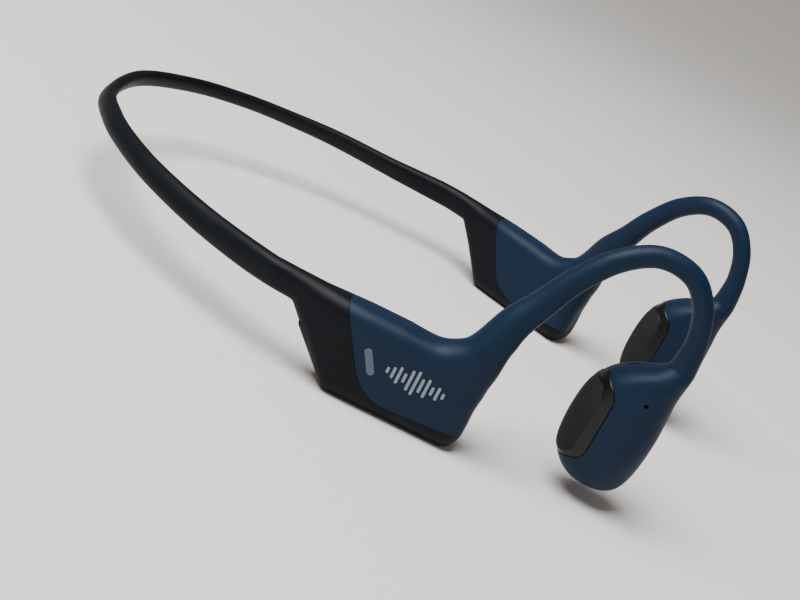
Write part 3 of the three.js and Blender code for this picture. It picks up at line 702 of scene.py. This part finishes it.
def build_transducer(side, whole):
    area = block("area", (-CAPSULE_X - 12, -48, -5), (-CAPSULE_X + 12, -10, NECK_TOP))
    inner = capsule_body(WALL)
    region = pad_region()
    pad = boolean(copy_of(whole, "pad"), "INTERSECT", area, region, keep=True)
    remesh(pad, 0.15)
    relax(pad, 4)
    inside = raise_pad_face(pad)
    mic = tube("mic", [(-CAPSULE_X - out, *MIC_PLACE) for out in (9, 3)], MIC_RADIUS)
    vents = [plate("vent", rounded(VENT_WIDTH, length, VENT_RADIUS), -2, 2, Matrix.Translation(
        Vector((-CAPSULE_X, y, z)) * MM) @ Matrix.Rotation(tilt, 4, "X")) for y, z, tilt, length in VENTS]
    housing = boolean(whole, "INTERSECT", area)
    wall = boolean(copy_of(housing, "wall"), "DIFFERENCE", inner, keep=True)
    boolean(housing, "DIFFERENCE", grown(region, SEAM), inner, hook_channel(), mic, *vents)
    if side == LEFT:
        rim = Matrix.Translation(Vector((-CAPSULE_X - MULTI_OUT, 0, 0)) * MM)
        width, height = MULTI_WIDTH + 4 * SEAM, MULTI_HEIGHT + 4 * SEAM
        around = rounded(width, height, width / 2 - 0.01, *MULTI_PLACE)
        hole = outline_prism("hole", around, MULTI_HOLE_REACH)
        outline = rounded(MULTI_WIDTH, MULTI_HEIGHT, MULTI_WIDTH / 2 - 0.01, *MULTI_PLACE)
        prism = outline_prism("multi", outline, MULTI_CAP_REACH)
        boolean(housing, "DIFFERENCE", move(hole, rim))
        button = mirror(boolean(wall, "INTERSECT", move(prism, rim)))
        remesh(button, 0.1)
        relax(button, 5)
        finish_piece(button, "multifunction_cap", ["multifunction_button"], "soft_touch_blue",
                     "multifunction")
        mirror(housing)
        mirror(pad)
    else:
        bpy.data.objects.remove(wall)
    finish_piece(housing, side + "_housing", [side + "_transducer_housing"], "soft_touch_blue")
    finish_piece(pad, side + "_pad_cover", [side + "_pad"], "pad_rubber")
    for face in pad.data.polygons:
        face.material_index = 0 if all(inside[i] > 0 for i in face.vertices) else 1


def build_side(side, whole):
    above = copy_of(whole, "above")
    gap = block("gap", (-CAPSULE_X - 14, -50, -6), (-CAPSULE_X + 14, -9, NECK_TOP + NECK_SEAM))
    boolean(above, "DIFFERENCE", gap)
    boolean(above, "INTERSECT", half_space("before", CAP_END))
    build_case(side, above)
    build_transducer(side, whole)


def build_band():
    sleeve = join_meshes("sleeve", band_body(), case_body(0, CAP_END), mirror(case_body(0, CAP_END)))
    remesh(sleeve, FINE)
    relax(sleeve, 6)
    soften(sleeve, *JOINT)
    soften(sleeve, (-JOINT[0][0], *JOINT[0][1:]), *JOINT[1:])
    cut = half_space("cut", CAP_END + NECK_SEAM)
    other = mirror(copy_of(cut, "cut_left"))
    boolean(sleeve, "DIFFERENCE", cut, other)
    finish_piece(sleeve, "neckband", ["band_sleeve"], "band_silicone")


def build_volume_buttons():
    """Two rocker caps in one slot, each with a raised sign to feel for."""
    width = BUTTON_WIDTH - BUTTON_GAP
    for name, centre in zip(("volume_down", "volume_up"), BUTTON_CENTRES):
        place = CASE_MATRIX @ Matrix.Translation(Vector((0, centre, BUTTON_RECESS)) * MM)
        cap = plate("cap", rounded(width, BUTTON_LENGTH, 1.0), 0, 1.5, place, bevel=0.3)
        flange = plate("flange", rounded(BUTTON_WIDTH + 0.6, BUTTON_LENGTH - 0.4, 0.8), 1.5, 2.0, place)
        bars = [plate("bar", rounded(0.36, 1.9, 0.17), -0.09, 0.3, place)]
        if name == "volume_up":
            bars.append(plate("bar", rounded(1.9, 0.36, 0.17), -0.09, 0.3, place))
        whole = boolean(cap, "UNION", flange, *bars)
        finish_piece(whole, name + "_cap", [name + "_button"], "soft_touch_black", name)


def build_port():
    outline = rounded(PORT_ACROSS, PORT_ALONG, PORT_RADIUS)
    base = plate("port_plate", outline, -1.5, -0.15, PORT_MATRIX, bevel=0.12)
    profile = [(0.001, -1.9), (0.55, -1.9), (PIN_RADIUS - 0.05, -1.85), (PIN_RADIUS, -0.35), (0.7, -0.25),
               (0.58, -0.21), (0.3, -0.26), (0.001, -0.28)]
    for sign, name in ((-1, "upper"), (1, "lower")):
        place = PORT_MATRIX @ Matrix.Translation((0, sign * PIN_PITCH * MM, 0))
        around = PIN_RADIUS + SEAM
        hole = lathe("hole", [(0.001, -4), (around, -4), (around, 2), (0.001, 2)], place)
        boolean(base, "DIFFERENCE", hole)
        node = "charging_contact_" + name
        finish_piece(lathe("pin", profile, place), "pin_" + name, [node], "contact_gold")
    finish_piece(base, "port_surround", ["charging_port_plate"], "inner_plastic")


def build_mark():
    """Printed row of bars that rise and fall, like a sound level."""
    bars = []
    turn = Matrix(((0, 0, -1, 0), (1, 0, 0, 0), (0, 1, 0, 0), (0, 0, 0, 1)))
    face = Matrix.Translation((-CASE_HALF * MM, 0, 0)) @ turn
    for i, height in enumerate(MARK_HEIGHTS):
        place = MARK_REAR - MARK_PITCH * i
        bar = rounded(MARK_WIDTH, height, MARK_WIDTH / 2 - 0.01, place, MARK_MIDDLE)
        bars.append(plate("bar", bar, -0.2, 0.02, CASE_MATRIX @ face))
    finish_piece(join_meshes("mark", *bars), "printed_mark", [], "printed_ink")


right_whole = whole_side()
left_whole = copy_of(right_whole, "whole")
build_side(RIGHT, right_whole)
build_side(LEFT, left_whole)
build_band()
build_volume_buttons()
build_port()
build_mark()


# ---------- floor, light and camera ----------

def make_floor():
    """Pale paper that lies flat under the headset and curves up far away all round."""
    flat, reach, sides = 0.8, 1.6, 96
    rings = [(0.0, 0.0)] + [(flat * k / 4, 0.0) for k in (1, 2, 3, 4)]
    for k in range(1, 13):
        angle = k / 12 * math.pi / 2
        rings.append((flat + reach * math.sin(angle), reach * (1 - math.cos(angle))))
    work = bmesh.new()
    last = None
    for radius, height in rings[1:]:
        turns = [2 * math.pi * i / sides for i in range(sides)]
        now = [work.verts.new((radius * math.cos(a), radius * math.sin(a), height)) for a in turns]
        if last is None:
            work.faces.new(now)
        else:
            for i in range(sides):
                work.faces.new((last[i], now[i], now[(i + 1) % sides], last[(i + 1) % sides]))
        last = now
    mesh = bpy.data.meshes.new("floor")
    work.to_mesh(mesh)
    work.free()
    floor = bpy.data.objects.new("floor", mesh)
    bpy.context.scene.collection.objects.link(floor)
    shade_smooth(floor)
    made, tree, shader = material("floor_paper", (0.74, 0.715, 0.695), 0.9)
    shader.inputs["Specular IOR Level"].default_value = 0.1
    vary_colour(tree, shader, noise_texture(tree, 3, 2), (0.73, 0.705, 0.685), (0.75, 0.725, 0.705))
    floor.data.materials.append(made)


def area_light(name, place, target, size, power, colour=(1, 1, 1)):
    light = bpy.data.lights.new(name, "AREA")
    light.shape = "RECTANGLE"
    light.size, light.size_y = size
    light.energy = power
    light.color = colour
    made = bpy.data.objects.new(name, light)
    made.location = place
    made.rotation_euler = (Vector(target) - Vector(place)).to_track_quat("-Z", "Y").to_euler()
    bpy.context.scene.collection.objects.link(made)


CAMERA_PLACE = Vector((-268, -31, 104.5)) * MM + SHIFT
CAMERA_RIGHT = Vector((0.352, -0.833, 0.426)).normalized()
CAMERA_BACK = -Vector((0.915, 0.211, -0.344)).normalized()


def make_camera():
    data = bpy.data.cameras.new("camera")
    data.sensor_width = 36
    data.lens = 58.5
    data.clip_start = 0.01
    camera = bpy.data.objects.new("camera", data)
    up = CAMERA_BACK.cross(CAMERA_RIGHT).normalized()
    right = up.cross(CAMERA_BACK)
    turn = Matrix((right, up, CAMERA_BACK)).transposed().to_4x4()
    camera.matrix_world = Matrix.Translation(CAMERA_PLACE) @ turn
    bpy.context.scene.collection.objects.link(camera)
    bpy.context.scene.camera = camera


def make_world():
    world = bpy.data.worlds.new("studio")
    world.use_nodes = True
    world.node_tree.nodes["Background"].inputs["Color"].default_value = (0.80, 0.79, 0.78, 1)
    world.node_tree.nodes["Background"].inputs["Strength"].default_value = 0.18
    bpy.context.scene.world = world


make_floor()
make_world()
make_camera()
area_light("key", (-0.30, 0.25, 0.95), (0, 0, 0), (0.7, 0.7), 23, (1.0, 0.985, 0.965))
area_light("fill", (-0.7, -0.5, 0.5), (0, 0, 0.02), (0.6, 0.6), 0.5)
